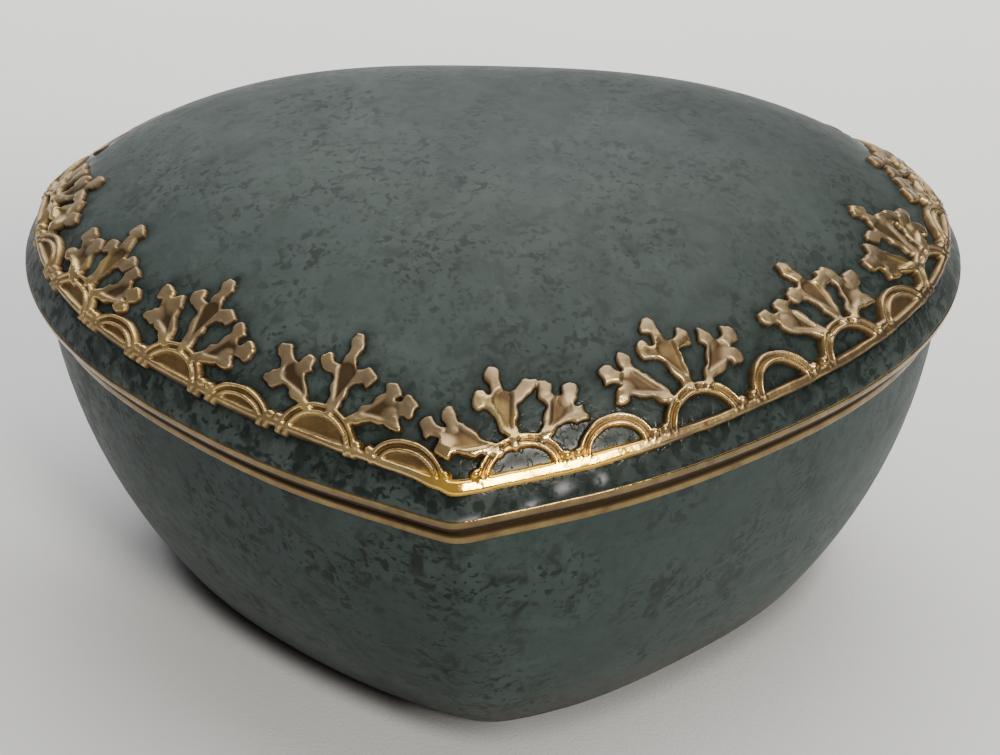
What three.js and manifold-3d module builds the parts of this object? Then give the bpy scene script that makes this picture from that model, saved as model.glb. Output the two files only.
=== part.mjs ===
import * as THREE from 'three';
import { mergeVertices } from 'three/addons/utils/BufferGeometryUtils.js';
import Module from 'manifold-3d';

// Heart-shaped ceramic box with a lift-off domed lid and a raised gilt border.
// Millimetres, +Z up, origin under the middle of the foot, the soft point at -Y.

// ---- driving dimensions ----
const OUTLINE_ANGLE = [0, 18, 40, 70, 100, 135, 180];            // degrees from the point
const OUTLINE_RADIUS = [58.9, 54.6, 53.8, 58.4, 58.2, 41.0, 30.4]; // widest outline of the lid
const SLOPE_AT_POINT = -25.5;
const SLOPE_AT_BACK = -19.0;      // a shallow cleft between the two lobes
const BACK_Y = 32.8;              // the lobes reach this far back
const SIDES = 60;                 // steps around the outline

const SEAM_Z = 45.0;              // top of the base's rim
const SEAM_GAP = 0.35;            // the lid rests this far above the rim
const RIM_INSET = 2.0;            // base rim, in from the lid's widest outline
const FOOT_INSET = 14.2;          // the wall would meet the ground here, in from the lid's widest outline
const WALL_POWER = 2.1;           // how the wall swells from foot to rim
const WALL = 3.6;                 // ceramic thickness
const FOOT_RECESS = 1.6;
const FOOT_RING = 4.0;
const FOOT_SET = 3.8;             // the foot ring stands this far in from the wall's lower edge
const FOOT_LIFT = 1.5;            // and holds that edge this far off the ground

const EDGE_LEAN = 2.2;            // the moulded edge below the point runs this far to +X at the foot

const LID_EDGE_INSET = 1.4;       // lower edge of the lid, in from its widest outline
const LID_SKIRT = 3.4;            // edge up to the widest outline
const LID_TURN = 1.25;            // the edge turns under below this height above the seam
const DOME_HEIGHT = 19.2;         // widest outline up to the top
const DOME_SHAPE = [2.6, 0.76];   // height = DOME_HEIGHT * (1 - s^2.6)^0.76, s from 1 at the edge to 0 on top
const DOME_CENTRE_Y = -8.6;
const LID_WALL = 3.8;
const FLANGE_DEPTH = 4.0;         // locating flange below the lid's edge
const FLANGE_GAP = 0.6;
const FLANGE_WALL = 2.6;

const LINE_TALL = 1.5;            // gilt lines either side of the seam
const LINE_DEEP = 0.65;
const SEAT = 0.32;                // clearance between a gilt piece and the ceramic
const BORDER_SEAT = 0.44;         // and under the border's plates, which bridge the dome's facets
const RELIEF = 0.95;              // how far the border stands up
const RAIL_UP = 2.4;              // rail's lower edge above the widest outline
const RAIL_TOP = 1.6;             // rail's upper edge, up the dome from there
const RAIL_LOW = [[-165, 0.7], [-60, 0.85], [-20, 0.9], [-8, 0.55], [0, -0.15], [14, -0.15], [40, 0.35], [75, 0.7], [165, 0.7]];
                                  // the rail's lower edge wanders: along the rail from the point, up the dome
const SPRIGS = [7.9, 30.3, 53.4, 74.6, 97.0, 118.3, 139.6, 160.9, 182.3, 203.6, 224.9, 246.2, 269.2, 290.5, 312.7];
                                  // sprig centres along the rail from the point, towards +X; a plain arch stands between each two

const LOW_SPRIGS = [6, 7, 8, 9, 10, 11];   // round the back, where the heads stay below the dome's horizon

// ---- plan outline: a clamped cubic spline in polar form, mirrored in the YZ plane ----
function spline(xs, ys, s0, s1) {
  const n = xs.length, a = [], b = [], c = [], d = [];
  for (let i = 0; i < n; i++) {
    if (i === 0) { a.push(0); b.push(1); c.push(0); d.push(s0); continue; }
    if (i === n - 1) { a.push(0); b.push(1); c.push(0); d.push(s1); continue; }
    const h0 = xs[i] - xs[i - 1], h1 = xs[i + 1] - xs[i];
    a.push(h1); b.push(2 * (h0 + h1)); c.push(h0);
    d.push(3 * (h1 * (ys[i] - ys[i - 1]) / h0 + h0 * (ys[i + 1] - ys[i]) / h1));
  }
  for (let i = 1; i < n; i++) {
    const w = a[i] / b[i - 1];
    b[i] -= w * c[i - 1];
    d[i] -= w * d[i - 1];
  }
  const m = new Array(n);
  m[n - 1] = d[n - 1] / b[n - 1];
  for (let i = n - 2; i >= 0; i--) m[i] = (d[i] - c[i] * m[i + 1]) / b[i];
  return x => {
    let i = 0;
    while (i < n - 2 && x > xs[i + 1]) i++;
    const h = xs[i + 1] - xs[i], t = (x - xs[i]) / h, t2 = t * t, t3 = t2 * t;
    return (2 * t3 - 3 * t2 + 1) * ys[i] + (t3 - 2 * t2 + t) * h * m[i]
      + (3 * t2 - 2 * t3) * ys[i + 1] + (t3 - t2) * h * m[i + 1];
  };
}
const RAD = Math.PI / 180;
const radiusAt = spline(OUTLINE_ANGLE.map(v => v * RAD), OUTLINE_RADIUS, SLOPE_AT_POINT, SLOPE_AT_BACK);
const softRadiusAt = spline(OUTLINE_ANGLE.map(v => v * RAD), [56.9, 55.2, 53.9, 58.3, 57.9, 41.6, 31.8], 0, 0);

function outlinePoint(turn, radius) {       // turn 0..1 counterclockwise, 0 at the point
  const a = turn * 2 * Math.PI;
  const t = a <= Math.PI ? a : 2 * Math.PI - a;
  const r = radius(t), side = a <= Math.PI ? 1 : -1;
  return new THREE.Vector2(side * r * Math.sin(t), -r * Math.cos(t));
}
const OUTLINE = Array.from({ length: SIDES }, (_, i) => outlinePoint(i / SIDES, radiusAt));
const SOFT = Array.from({ length: SIDES }, (_, i) => outlinePoint(i / SIDES, softRadiusAt));
// Towards the pole, lengthened where the outline slopes, so that a step along it is one millimetre of wall.
const INWARD = OUTLINE.map((p, i) => {
  const t = Math.min(i, SIDES - i) / SIDES * 2 * Math.PI, h = 1e-3;
  const slope = i === 0 ? SLOPE_AT_POINT
    : (radiusAt(Math.min(t + h, Math.PI)) - radiusAt(t - h)) / (2 * h) * (1 - THREE.MathUtils.smoothstep(t, 2.2, 2.9));
  return p.clone().normalize().multiplyScalar(-Math.hypot(1, slope / p.length()));
});
// A point of ring i, inset by d, then drawn in towards the dome's middle by the factor s.
// The outline's point and back soften as s falls.
function ringPoint(i, d, s) {
  const w = THREE.MathUtils.smoothstep(1 - s, 0.01, 0.28);
  const p = OUTLINE[i].clone().lerp(SOFT[i], w).addScaledVector(INWARD[i], d);
  return new THREE.Vector2(p.x * s, p.y * s + DOME_CENTRE_Y * (1 - s));
}

// A lathe in which each profile point [inset, scale, z] follows the outline.
// profileAt(i) gives the profile at step i; lean moves what lies below the point to one side.
function heartLathe(profileAt, lean = 0) {
  const at = typeof profileAt === 'function' ? profileAt : () => profileAt;
  const seed = at(0).map(([d, s, z]) => new THREE.Vector2(s === 0 ? 0 : 60 * s - d * 0.5, z));
  const g = new THREE.LatheGeometry(seed, SIDES);
  const pos = g.attributes.position, rows = seed.length;
  for (let i = 0; i <= SIDES; i++) {
    const turn = i % SIDES, off = Math.min(turn, SIDES - turn) / SIDES * 2 * Math.PI;
    at(turn).forEach(([d, s, z], j) => {
      const q = s === 0 ? new THREE.Vector2(0, DOME_CENTRE_Y) : ringPoint(turn, d, s);
      q.x += lean * s * Math.pow(Math.max(0, 1 - z / SEAM_Z), 1.2) * Math.exp(-((off / 0.6) ** 2));
      pos.setXYZ(i * rows + j, q.x, q.y, z);
    });
  }
  return closed(g);
}
// shared vertices merged, empty triangles dropped, faces turned to point out
function closed(g) {
  g.deleteAttribute('normal');
  g.deleteAttribute('uv');
  g.clearGroups();
  const m = mergeVertices(g, 1e-4), p = m.attributes.position, idx = m.index.array, out = [];
  for (let i = 0; i < idx.length; i += 3) {
    const [a, b, c] = [idx[i], idx[i + 1], idx[i + 2]];
    if (a !== b && b !== c && a !== c) out.push(a, b, c);
  }
  const v = k => new THREE.Vector3().fromBufferAttribute(p, k);
  let volume = 0;
  for (let i = 0; i < out.length; i += 3) volume += v(out[i]).dot(v(out[i + 1]).cross(v(out[i + 2])));
  if (volume < 0) for (let i = 0; i < out.length; i += 3) [out[i + 1], out[i + 2]] = [out[i + 2], out[i + 1]];
  m.setIndex(out);
  m.computeVertexNormals();
  return m;
}

const baseInset = z => RIM_INSET + (FOOT_INSET - RIM_INSET) * Math.pow(1 - z / SEAM_Z, WALL_POWER);

// ---- base bowl, its rim rebated for the gilt line ----
const footOut = FOOT_INSET + FOOT_SET, footIn = footOut + FOOT_RING;
const baseProfile = [[footIn, 0, FOOT_RECESS], [footIn, 1, FOOT_RECESS], [footIn - 0.6, 1, 0], [footOut, 1, 0],
  [footOut - 0.4, 1, FOOT_LIFT], [FOOT_INSET - 0.3, 1, FOOT_LIFT], [FOOT_INSET - 0.85, 1, FOOT_LIFT + 0.3]];
for (const u of [0.055, 0.16, 0.3, 0.47, 0.66, 0.84]) baseProfile.push([baseInset(SEAM_Z * u), 1, SEAM_Z * u]);
const lineBottom = SEAM_Z - LINE_TALL - 0.1;
baseProfile.push([baseInset(lineBottom - SEAT), 1, lineBottom - SEAT], [RIM_INSET + LINE_DEEP + SEAT, 1, lineBottom - SEAT],
  [RIM_INSET + LINE_DEEP + SEAT, 1, SEAM_Z], [RIM_INSET + WALL - 0.4, 1, SEAM_Z], [RIM_INSET + WALL, 1, SEAM_Z - 0.6]);
for (const u of [0.72, 0.46, 0.28, 0.16]) baseProfile.push([baseInset(SEAM_Z * u) + WALL + (1 - u) * 0.8, 1, SEAM_Z * u]);
baseProfile.push([baseInset(SEAM_Z * 0.11) + WALL + 5, 1, FOOT_RECESS + 3.4], [0, 0, FOOT_RECESS + 3.4]);

// ---- lid: dome outside, locating flange inside, lower edge rebated for its gilt line ----
const lidBottom = SEAM_Z + SEAM_GAP;
const widest = SEAM_Z + LID_SKIRT;
const domeZ = s => widest + DOME_HEIGHT * Math.pow(1 - Math.pow(s, DOME_SHAPE[0]), DOME_SHAPE[1]);
const flangeOut = RIM_INSET + WALL + FLANGE_GAP, flangeIn = flangeOut + FLANGE_WALL;
const lidProfile = [];
for (const s of [0, 0.35, 0.65, 0.85]) lidProfile.push([flangeIn + 0.8, s, domeZ(0.83 * s) - LID_WALL]);
lidProfile.push([flangeIn + 0.8, 0.95, domeZ(0.8) - LID_WALL - 0.1], [flangeIn + 0.8, 1, 52.0], [flangeIn, 1, 49.5]);
lidProfile.push([flangeIn, 1, lidBottom - FLANGE_DEPTH], [flangeOut, 1, lidBottom - FLANGE_DEPTH], [flangeOut, 1, lidBottom]);
const lidLine = lidBottom + LID_TURN + SEAT, turnInset = 0.42;
lidProfile.push([LID_EDGE_INSET, 1, lidBottom], [turnInset, 1, lidBottom + LID_TURN], [LINE_DEEP + SEAT, 1, lidLine - SEAT + 0.001]);
lidProfile.push([LINE_DEEP + SEAT, 1, lidLine + LINE_TALL + SEAT]);
for (const s of [0.993, 0.98, 0.955, 0.92, 0.865, 0.79, 0.68, 0.54, 0.36, 0.18, 0]) lidProfile.push([0, s, domeZ(s)]);

// ---- the dome's outer surface in border coordinates: along the rail, up the dome, out of it ----
const turnLength = [0];
for (let i = 0; i < SIDES; i++) turnLength.push(turnLength[i] + OUTLINE[i].distanceTo(OUTLINE[(i + 1) % SIDES]));
const PERIMETER = turnLength[SIDES];
const MEAN_REACH = 55;
const climb = [];                   // distance up the dome from the widest outline, against s
for (let k = 0, prev = null, sum = 0; k <= 200; k++) {
  const s = 1 - k * 0.002, q = [MEAN_REACH * s, domeZ(s)];
  if (prev) sum += Math.hypot(q[0] - prev[0], q[1] - prev[1]);
  climb.push([sum, s]);
  prev = q;
}
const climbAt = s => climb[Math.round((1 - s) / 0.002)][0];
const RAIL_S = climb.find(([, s]) => domeZ(s) >= widest + RAIL_UP)[1];
const RAIL_CLIMB = climbAt(RAIL_S);
function scaleAt(v) {               // v millimetres up the dome from the rail's lower edge
  const c = Math.max(0, v + RAIL_CLIMB);
  let k = 1;
  while (k < climb.length - 1 && climb[k][0] < c) k++;
  const [c0, s0] = climb[k - 1], [c1, s1] = climb[k];
  return s0 + (s1 - s0) * (c - c0) / (c1 - c0);
}
function domeNormal(s) {
  const a = Math.min(0.9995, s + 0.004), b = s - 0.004;
  const dx = MEAN_REACH * (a - b), dz = domeZ(b) - domeZ(a), l = Math.hypot(dx, dz);
  return [dz / l, dx / l];
}
function onDome(u, v, w) {
  let c = ((u % PERIMETER) + PERIMETER) % PERIMETER, i = 0;
  while (i < SIDES - 1 && turnLength[i + 1] < c) i++;
  const f = (c - turnLength[i]) / (turnLength[i + 1] - turnLength[i]);
  const s = scaleAt(v), [nx, nz] = domeNormal(s);
  const q = ringPoint(i, -w * nx, s).lerp(ringPoint((i + 1) % SIDES, -w * nx, s), f);
  return new THREE.Vector3(q.x, q.y, domeZ(s) + w * nz);
}

// ---- gilt pieces ----
const ring = (inset0, inset1, z0, z1) => heartLathe([[inset0, 1, z0], [inset1, 1, z0], [inset1, 1, z1], [inset0, 1, z1], [inset0, 1, z0]]);
function railLow(u) {
  const k = Math.max(1, RAIL_LOW.findIndex(([x]) => x >= u)), [x0, v0] = RAIL_LOW[k - 1], [x1, v1] = RAIL_LOW[k];
  return v0 + (v1 - v0) * THREE.MathUtils.smoothstep(u, x0, x1);
}
function railProfile(i) {
  const u = turnLength[i] > PERIMETER / 2 ? turnLength[i] - PERIMETER : turnLength[i], low = railLow(u), wide = RAIL_TOP - low;
  return [[0, 0], [1, 0], [1, 0.55], [0.72, 1], [0.28, 1], [0, 0.55], [0, 0]].map(([f, h]) => {
    const w = SEAT + RELIEF * h, s = scaleAt(low + wide * f), [nx, nz] = domeNormal(s);
    return [-w * nx, s, domeZ(s) + w * nz];
  });
}

const wasm = await Module();
wasm.setup();
function solid(g) {
  const m = closed(g);
  return new wasm.Manifold(new wasm.Mesh({ numProp: 3, vertProperties: Float32Array.from(m.attributes.position.array), triVerts: Uint32Array.from(m.index.array) }));
}
const plate = points => solid(new THREE.ExtrudeGeometry(new THREE.Shape(points.map(([x, y]) => new THREE.Vector2(x, y))),
  { depth: RELIEF, bevelEnabled: false }));
const FOOT_V = RAIL_TOP + SEAT;    // border pieces start here, just above the rail
function archBand(halfOut, topOut, wide, steps) {
  const pts = [];
  for (let k = 0; k <= steps; k++) { const a = Math.PI * k / steps; pts.push([-halfOut * Math.cos(a), FOOT_V + (topOut - FOOT_V) * Math.sin(a)]); }
  for (let k = steps; k >= 0; k--) { const a = Math.PI * k / steps; pts.push([-(halfOut - wide) * Math.cos(a), FOOT_V + (topOut - wide - FOOT_V) * Math.sin(a)]); }
  return plate(pts);
}
const bar = (x0, x1, y0, y1) => plate([[x0, y0], [x1, y0], [x1, y1], [x0, y1]]);
function arch(half, top) {          // two concentric ridges joined at their feet
  const outer = archBand(half, top, 0.95, 8), inner = archBand(half - 1.5, top - 1.4, 0.8, 6);
  return outer.add(inner).add(bar(-half + 0.1, -half + 2.2, FOOT_V, FOOT_V + 0.6)).add(bar(half - 2.2, half - 0.1, FOOT_V, FOOT_V + 0.6));
}
// three stems fan out of the arch's crown, each flaring into a head of three lobes
const MIDDLE_HEAD = [[-0.5, 5.2], [-1.0, 7.7], [-3.6, 9.7], [-4.0, 11.1], [-2.9, 12.0], [-1.5, 11.6], [-1.5, 13.9], [-0.4, 15.0],
  [0.9, 14.0], [1.3, 11.6], [2.9, 12.0], [4.1, 11.0], [3.7, 9.7], [1.1, 7.7], [0.5, 5.2]];
const SIDE_HEAD = [[2.3, 5.0], [4.2, 7.4], [4.5, 9.8], [5.4, 10.9], [6.5, 10.4], [6.9, 9.4], [8.2, 9.9], [9.5, 9.4],
  [9.4, 8.1], [8.2, 7.4], [8.6, 6.3], [8.0, 5.3], [6.9, 5.4], [5.2, 6.0], [3.3, 4.6]];
function sprig(half, top, reach) {  // reach 1 for full heads, less for low ones
  const low = head => head.map(([x, y]) => [x, 4.6 + (y - 4.6) * reach]), side = low(SIDE_HEAD);
  return arch(half, top).add(plate(low(MIDDLE_HEAD))).add(plate(side)).add(plate(side.map(([x, y]) => [-x, y]).reverse()));
}
function laidOn(flat, u) {
  const m = flat.getMesh(), g = new THREE.BufferGeometry(), xyz = [];
  for (let i = 0; i < m.vertProperties.length; i += m.numProp) {
    const q = onDome(u + m.vertProperties[i], m.vertProperties[i + 1], BORDER_SEAT + m.vertProperties[i + 2]);
    xyz.push(q.x, q.y, q.z);
  }
  g.setAttribute('position', new THREE.Float32BufferAttribute(xyz, 3));
  g.setIndex(Array.from(m.triVerts));
  return closed(g);
}

const box = new THREE.Group();
box.position.y = (OUTLINE_RADIUS[0] - BACK_Y) / 2;   // origin midway between the point and the lobes
function add(name, geometry, color, roughness, metalness) {
  const mesh = new THREE.Mesh(geometry, new THREE.MeshStandardMaterial({ color, roughness, metalness }));
  mesh.name = name;
  box.add(mesh);
}
const GREEN = 0x50605b, DARK_GREEN = 0x414f4a, GOLD = 0xb08d57;
add('base_bowl', heartLathe(baseProfile, EDGE_LEAN), DARK_GREEN, 0.3, 0);
add('lid_shell', heartLathe(lidProfile), GREEN, 0.35, 0);
add('base_gilt_line', ring(RIM_INSET, RIM_INSET + LINE_DEEP, lineBottom, lineBottom + LINE_TALL), GOLD, 0.3, 1);
add('lid_gilt_line', ring(-0.05, LINE_DEEP, lidLine, lidLine + LINE_TALL), GOLD, 0.3, 1);
add('border_rail', heartLathe(railProfile), GOLD, 0.25, 1);
const sprigFlat = sprig(5.3, 5.6, 1), lowFlat = sprig(5.3, 5.6, 0.68), plainFlat = arch(4.45, 5.0);
SPRIGS.forEach((u, k) => {
  const tag = String(k + 1).padStart(2, '0'), next = k + 1 < SPRIGS.length ? SPRIGS[k + 1] : SPRIGS[0] + PERIMETER;
  add('border_sprig_' + tag, laidOn(LOW_SPRIGS.includes(k + 1) ? lowFlat : sprigFlat, u), GOLD, 0.3, 1);
  add('border_arch_' + tag, laidOn(plainFlat, (u + next) / 2), GOLD, 0.3, 1);
});

export default box;
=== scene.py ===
import math

import bpy
import numpy as np
from mathutils import Matrix, Vector


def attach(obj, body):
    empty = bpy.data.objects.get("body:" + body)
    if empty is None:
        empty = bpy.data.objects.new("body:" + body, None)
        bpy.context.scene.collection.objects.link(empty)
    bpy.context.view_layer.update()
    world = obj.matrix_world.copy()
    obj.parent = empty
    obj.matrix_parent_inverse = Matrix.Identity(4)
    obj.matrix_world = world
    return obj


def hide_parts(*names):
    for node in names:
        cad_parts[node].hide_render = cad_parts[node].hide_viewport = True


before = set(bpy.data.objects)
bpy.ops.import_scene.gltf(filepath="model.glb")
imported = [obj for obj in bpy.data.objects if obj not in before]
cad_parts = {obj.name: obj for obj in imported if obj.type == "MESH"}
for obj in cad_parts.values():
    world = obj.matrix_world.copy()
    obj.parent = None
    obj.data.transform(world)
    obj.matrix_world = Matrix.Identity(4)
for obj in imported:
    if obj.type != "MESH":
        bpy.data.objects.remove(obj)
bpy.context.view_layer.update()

MM = 0.001
rng = np.random.default_rng(11)

# ---------------------------------------------------------------- sizes, as in the CAD, in millimetres
ANGLE = np.radians([0, 18, 40, 70, 100, 135, 180])
SHARP_R = [58.9, 54.6, 53.8, 58.4, 58.2, 41.0, 30.4]
SOFT_R = [56.9, 55.2, 53.9, 58.3, 57.9, 41.6, 31.8]
SHIFT_Y = (SHARP_R[0] - 32.8) / 2
SEAM_Z, SEAM_GAP = 45.0, 0.35
RIM_INSET, FOOT_INSET, WALL_POWER, WALL = 2.0, 14.2, 2.1, 3.6
FOOT_RECESS, FOOT_RING, FOOT_SET, FOOT_LIFT = 1.6, 4.0, 3.8, 1.5
LID_EDGE_INSET, LID_SKIRT, LID_TURN, TURN_INSET, EDGE_LEAN = 1.4, 3.4, 1.25, 0.42, 2.2
DOME_HEIGHT, DOME_A, DOME_B, DOME_Y = 19.2, 2.6, 0.76, -8.6
LID_WALL, FLANGE_DEPTH, FLANGE_GAP, FLANGE_WALL = 3.8, 4.0, 0.6, 2.6
RAIL_UP = 2.4
SPRIGS = [7.9, 30.3, 53.4, 74.6, 97.0, 118.3, 139.6, 160.9, 182.3, 203.6, 224.9, 246.2, 269.2, 290.5, 312.7]
LID_BOTTOM, WIDEST = SEAM_Z + SEAM_GAP, SEAM_Z + LID_SKIRT
FLANGE_OUT = RIM_INSET + WALL + FLANGE_GAP
FLANGE_IN = FLANGE_OUT + FLANGE_WALL


def clamped_spline(xs, ys, s0, s1):
    n = len(xs)
    a, b = np.zeros((n, n)), np.zeros(n)
    a[0, 0], b[0], a[-1, -1], b[-1] = 1, s0, 1, s1
    for i in range(1, n - 1):
        h0, h1 = xs[i] - xs[i - 1], xs[i + 1] - xs[i]
        a[i, i - 1:i + 2] = h1, 2 * (h0 + h1), h0
        b[i] = 3 * (h1 * (ys[i] - ys[i - 1]) / h0 + h0 * (ys[i + 1] - ys[i]) / h1)
    m = np.linalg.solve(a, b)
    ys = np.asarray(ys)

    def at(x):
        x = np.asarray(x, float)
        i = np.clip(np.searchsorted(xs, x, side="right") - 1, 0, n - 2)
        h = xs[i + 1] - xs[i]
        t = (x - xs[i]) / h
        return ((2 * t**3 - 3 * t**2 + 1) * ys[i] + (t**3 - 2 * t**2 + t) * h * m[i]
                + (3 * t**2 - 2 * t**3) * ys[i + 1] + (t**3 - t**2) * h * m[i + 1])
    return at


sharp_r = clamped_spline(ANGLE, SHARP_R, -25.5, -19.0)
soft_r = clamped_spline(ANGLE, SOFT_R, 0.0, 0.0)


def smooth01(x, lo, hi):
    t = np.clip((np.asarray(x, float) - lo) / (hi - lo), 0, 1)
    return t * t * (3 - 2 * t)


def ring(theta, inset, scale, edge=0.022):
    """Plan points of the heart at signed angle theta from the point, inset by so many mm, drawn in by scale."""
    t = np.abs(theta)
    te = np.sqrt(t**2 + edge**2)
    te = np.pi - np.sqrt((np.pi - te)**2 + (2 * edge)**2)
    te = np.clip(te, 0, np.pi)
    w = smooth01(1 - scale, 0.01, 0.28)
    r = sharp_r(te) * (1 - w) + soft_r(te) * w
    slope = (sharp_r(np.clip(te + 1e-3, 0, np.pi)) - sharp_r(np.clip(te - 1e-3, 0, np.pi))) / 2e-3 * (1 - smooth01(t, 2.2, 2.9))
    r = r - inset * np.sqrt(1 + (slope / r)**2)
    x, y = np.sin(theta) * r, -np.cos(theta) * r
    return x * scale, y * scale + DOME_Y * (1 - scale)


def dome_z(s):
    return WIDEST + DOME_HEIGHT * np.power(np.clip(1 - np.power(s, DOME_A), 0, 1), DOME_B)


# distance up the dome, against scale
_s = 1 - np.arange(0, 4001) * 0.00025
_climb = np.concatenate([[0], np.cumsum(np.hypot(55 * np.diff(_s), np.diff(dome_z(_s))))])
RAIL_S = _s[np.argmax(dome_z(_s) >= WIDEST + RAIL_UP)]
RAIL_CLIMB = np.interp(-RAIL_S, -_s, _climb)


def scale_at(v):
    return np.interp(v + RAIL_CLIMB, _climb, _s)


def climb_at(s):
    return np.interp(-s, -_s, _climb) - RAIL_CLIMB


# distance along the rail, against angle
_th = np.linspace(-np.pi, np.pi, 5761)
_x, _y = ring(_th, 0, 1, 0.004)
_len = np.concatenate([[0], np.cumsum(np.hypot(np.diff(_x), np.diff(_y)))])
PERIMETER = _len[-1]
_along = _len - _len[len(_len) // 2]


def theta_at(u):
    return np.interp((u + PERIMETER / 2) % PERIMETER - PERIMETER / 2, _along, _th)


def along_at(theta):
    return np.interp(theta, _th, _along)


def dome_normal(s):
    a, b = np.minimum(0.9995, s + 0.004), s - 0.004
    dx, dz = 55 * (a - b), dome_z(b) - dome_z(a)
    n = np.hypot(dx, dz)
    return dz / n, dx / n


# ---------------------------------------------------------------- mesh helpers
def make_object(name, verts, quads, tris=()):
    mesh = bpy.data.meshes.new(name)
    quads = np.asarray(quads, np.int64).reshape(-1, 4)
    tris = np.asarray(tris, np.int64).reshape(-1, 3)
    loops = np.concatenate([quads.ravel(), tris.ravel()]).astype(np.int32)
    starts = np.concatenate([np.arange(len(quads)) * 4, len(quads) * 4 + np.arange(len(tris)) * 3]).astype(np.int32)
    mesh.vertices.add(len(verts))
    mesh.vertices.foreach_set("co", (np.asarray(verts, np.float64) * MM).astype(np.float32).ravel())
    mesh.loops.add(len(loops))
    mesh.loops.foreach_set("vertex_index", loops)
    mesh.polygons.add(len(starts))
    mesh.polygons.foreach_set("loop_start", starts)
    mesh.polygons.foreach_set("use_smooth", np.ones(len(starts), bool))
    mesh.update(calc_edges=True)
    mesh.validate()
    obj = bpy.data.objects.new(name, mesh)
    bpy.context.scene.collection.objects.link(obj)
    return obj


def set_attribute(obj, name, values):
    a = obj.data.attributes.new(name, "FLOAT", "POINT")
    a.data.foreach_set("value", np.asarray(values, np.float32))


def lean_x(theta, z, scale=1.0):
    """How far the moulded edge below the point runs to one side."""
    return EDGE_LEAN * scale * np.power(np.clip(1 - z / SEAM_Z, 0, 1), 1.2) * np.exp(-(theta / 0.6)**2)


def heart_lathe(name, profile, columns, edges, lean=False):
    """profile: rows of (inset, scale, z); the first and last rows lie on the middle where scale is 0."""
    theta = np.linspace(-np.pi, np.pi, columns, endpoint=False)
    rows, index, verts = [], [], []
    count = 0
    for (d, s, z), e in zip(profile, edges):
        if s == 0:
            verts.append([[0, DOME_Y + SHIFT_Y, z]])
            index.append(np.full(columns, count))
            count += 1
        else:
            x, y = ring(theta, d, s, e)
            if lean:
                x = x + lean_x(theta, z, s)
            verts.append(np.column_stack([x, y + SHIFT_Y, np.full(columns, z)]))
            index.append(count + np.arange(columns))
            count += columns
    verts = np.concatenate([np.asarray(v, float) for v in verts])
    quads, tris = [], []
    nxt = (np.arange(columns) + 1) % columns
    for a, b in zip(index[:-1], index[1:]):
        if a[0] == a[1] and columns > 1:
            tris.append(np.column_stack([a, b, b[nxt]]))
        elif b[0] == b[1]:
            tris.append(np.column_stack([a, b, a[nxt]]))
        else:
            quads.append(np.column_stack([a, b, b[nxt], a[nxt]]))
    if index[0][0] != index[0][1] and index[-1][0] != index[-1][1]:   # a closed loop
        a, b = index[-1], index[0]
        quads.append(np.column_stack([a, b, b[nxt], a[nxt]]))
    quads = np.concatenate(quads)
    tris = np.concatenate(tris) if tris else np.zeros((0, 3), int)
    obj = make_object(name, verts, quads, tris)
    return obj, verts, index


def face_out(obj):
    """Turns every face over if the closed mesh is inside out."""
    me = obj.data
    me.calc_loop_triangles()
    n = len(me.loop_triangles)
    t = np.zeros(n * 3, np.int32)
    me.loop_triangles.foreach_get("vertices", t)
    co = np.zeros(len(me.vertices) * 3, np.float32)
    me.vertices.foreach_get("co", co)
    co, t = co.reshape(-1, 3).astype(float), t.reshape(-1, 3)
    vol = np.einsum("ij,ij->i", co[t[:, 0]], np.cross(co[t[:, 1]], co[t[:, 2]])).sum()
    if vol < 0:
        me.flip_normals()


# ---------------------------------------------------------------- base bowl
def base_inset(z):
    return RIM_INSET + (FOOT_INSET - RIM_INSET) * np.power(np.clip(1 - z / SEAM_Z, 0, 1), WALL_POWER)


def rounded(points, radius, steps=4):
    """Replaces the corners of a profile by short arcs. points: (inset, scale, z, radius or None)."""
    out = []
    for k, p in enumerate(points):
        r = p[3] if len(p) > 3 else 0
        if not r or k in (0, len(points) - 1):
            out.append(p[:3])
            continue
        a, b, c = (np.array([q[0], q[2]], float) for q in (points[k - 1], p, points[k + 1]))
        la, lc = np.linalg.norm(a - b), np.linalg.norm(c - b)
        r = min(r, la * 0.49, lc * 0.49)
        p0, p1 = b + (a - b) / la * r, b + (c - b) / lc * r
        for q in np.linspace(0, 1, steps + 1):
            m = (1 - q)**2 * p0 + 2 * q * (1 - q) * b + q * q * p1
            out.append((m[0], p[1], m[1]))
    return out


SHOULDER = 1.0         # the rim's outer edge is rounded over
zs = SEAM_Z * np.array([0.055, 0.08, 0.11, 0.16, 0.21, 0.27, 0.33, 0.4, 0.47, 0.54, 0.61, 0.68, 0.75, 0.82, 0.88, 0.93, 0.96])
inner = SEAM_Z * np.array([0.97, 0.94, 0.88, 0.8, 0.7, 0.6, 0.5, 0.4, 0.32, 0.26, 0.21, 0.17, 0.145])
ring_out = FOOT_INSET + FOOT_SET
ring_in = ring_out + FOOT_RING
bowl = [(ring_in + 0.8, 0, FOOT_RECESS), (ring_in + 0.8, 0.3, FOOT_RECESS), (ring_in + 0.8, 0.6, FOOT_RECESS), (ring_in + 0.8, 0.9, FOOT_RECESS),
        (ring_in + 0.5, 1, FOOT_RECESS, 0.6), (ring_in - 0.4, 1, 0, 0.5), (ring_out, 1, 0, 0.3), (ring_out - 0.4, 1, FOOT_LIFT, 0.5)]
bowl += [(FOOT_INSET + d, 1, FOOT_LIFT + z) for d, z in ((1.2, 0.0), (0.0, 0.0), (-0.42, 0.05), (-0.78, 0.22), (-1.0, 0.5))]
bowl += [(base_inset(z), 1, z) for z in zs]
bowl += [(RIM_INSET + SHOULDER * (1 - math.cos(a)), 1, SEAM_Z - SHOULDER * (1 - math.sin(a))) for a in np.radians([8, 22, 36, 50, 64, 78, 90])]
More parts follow.
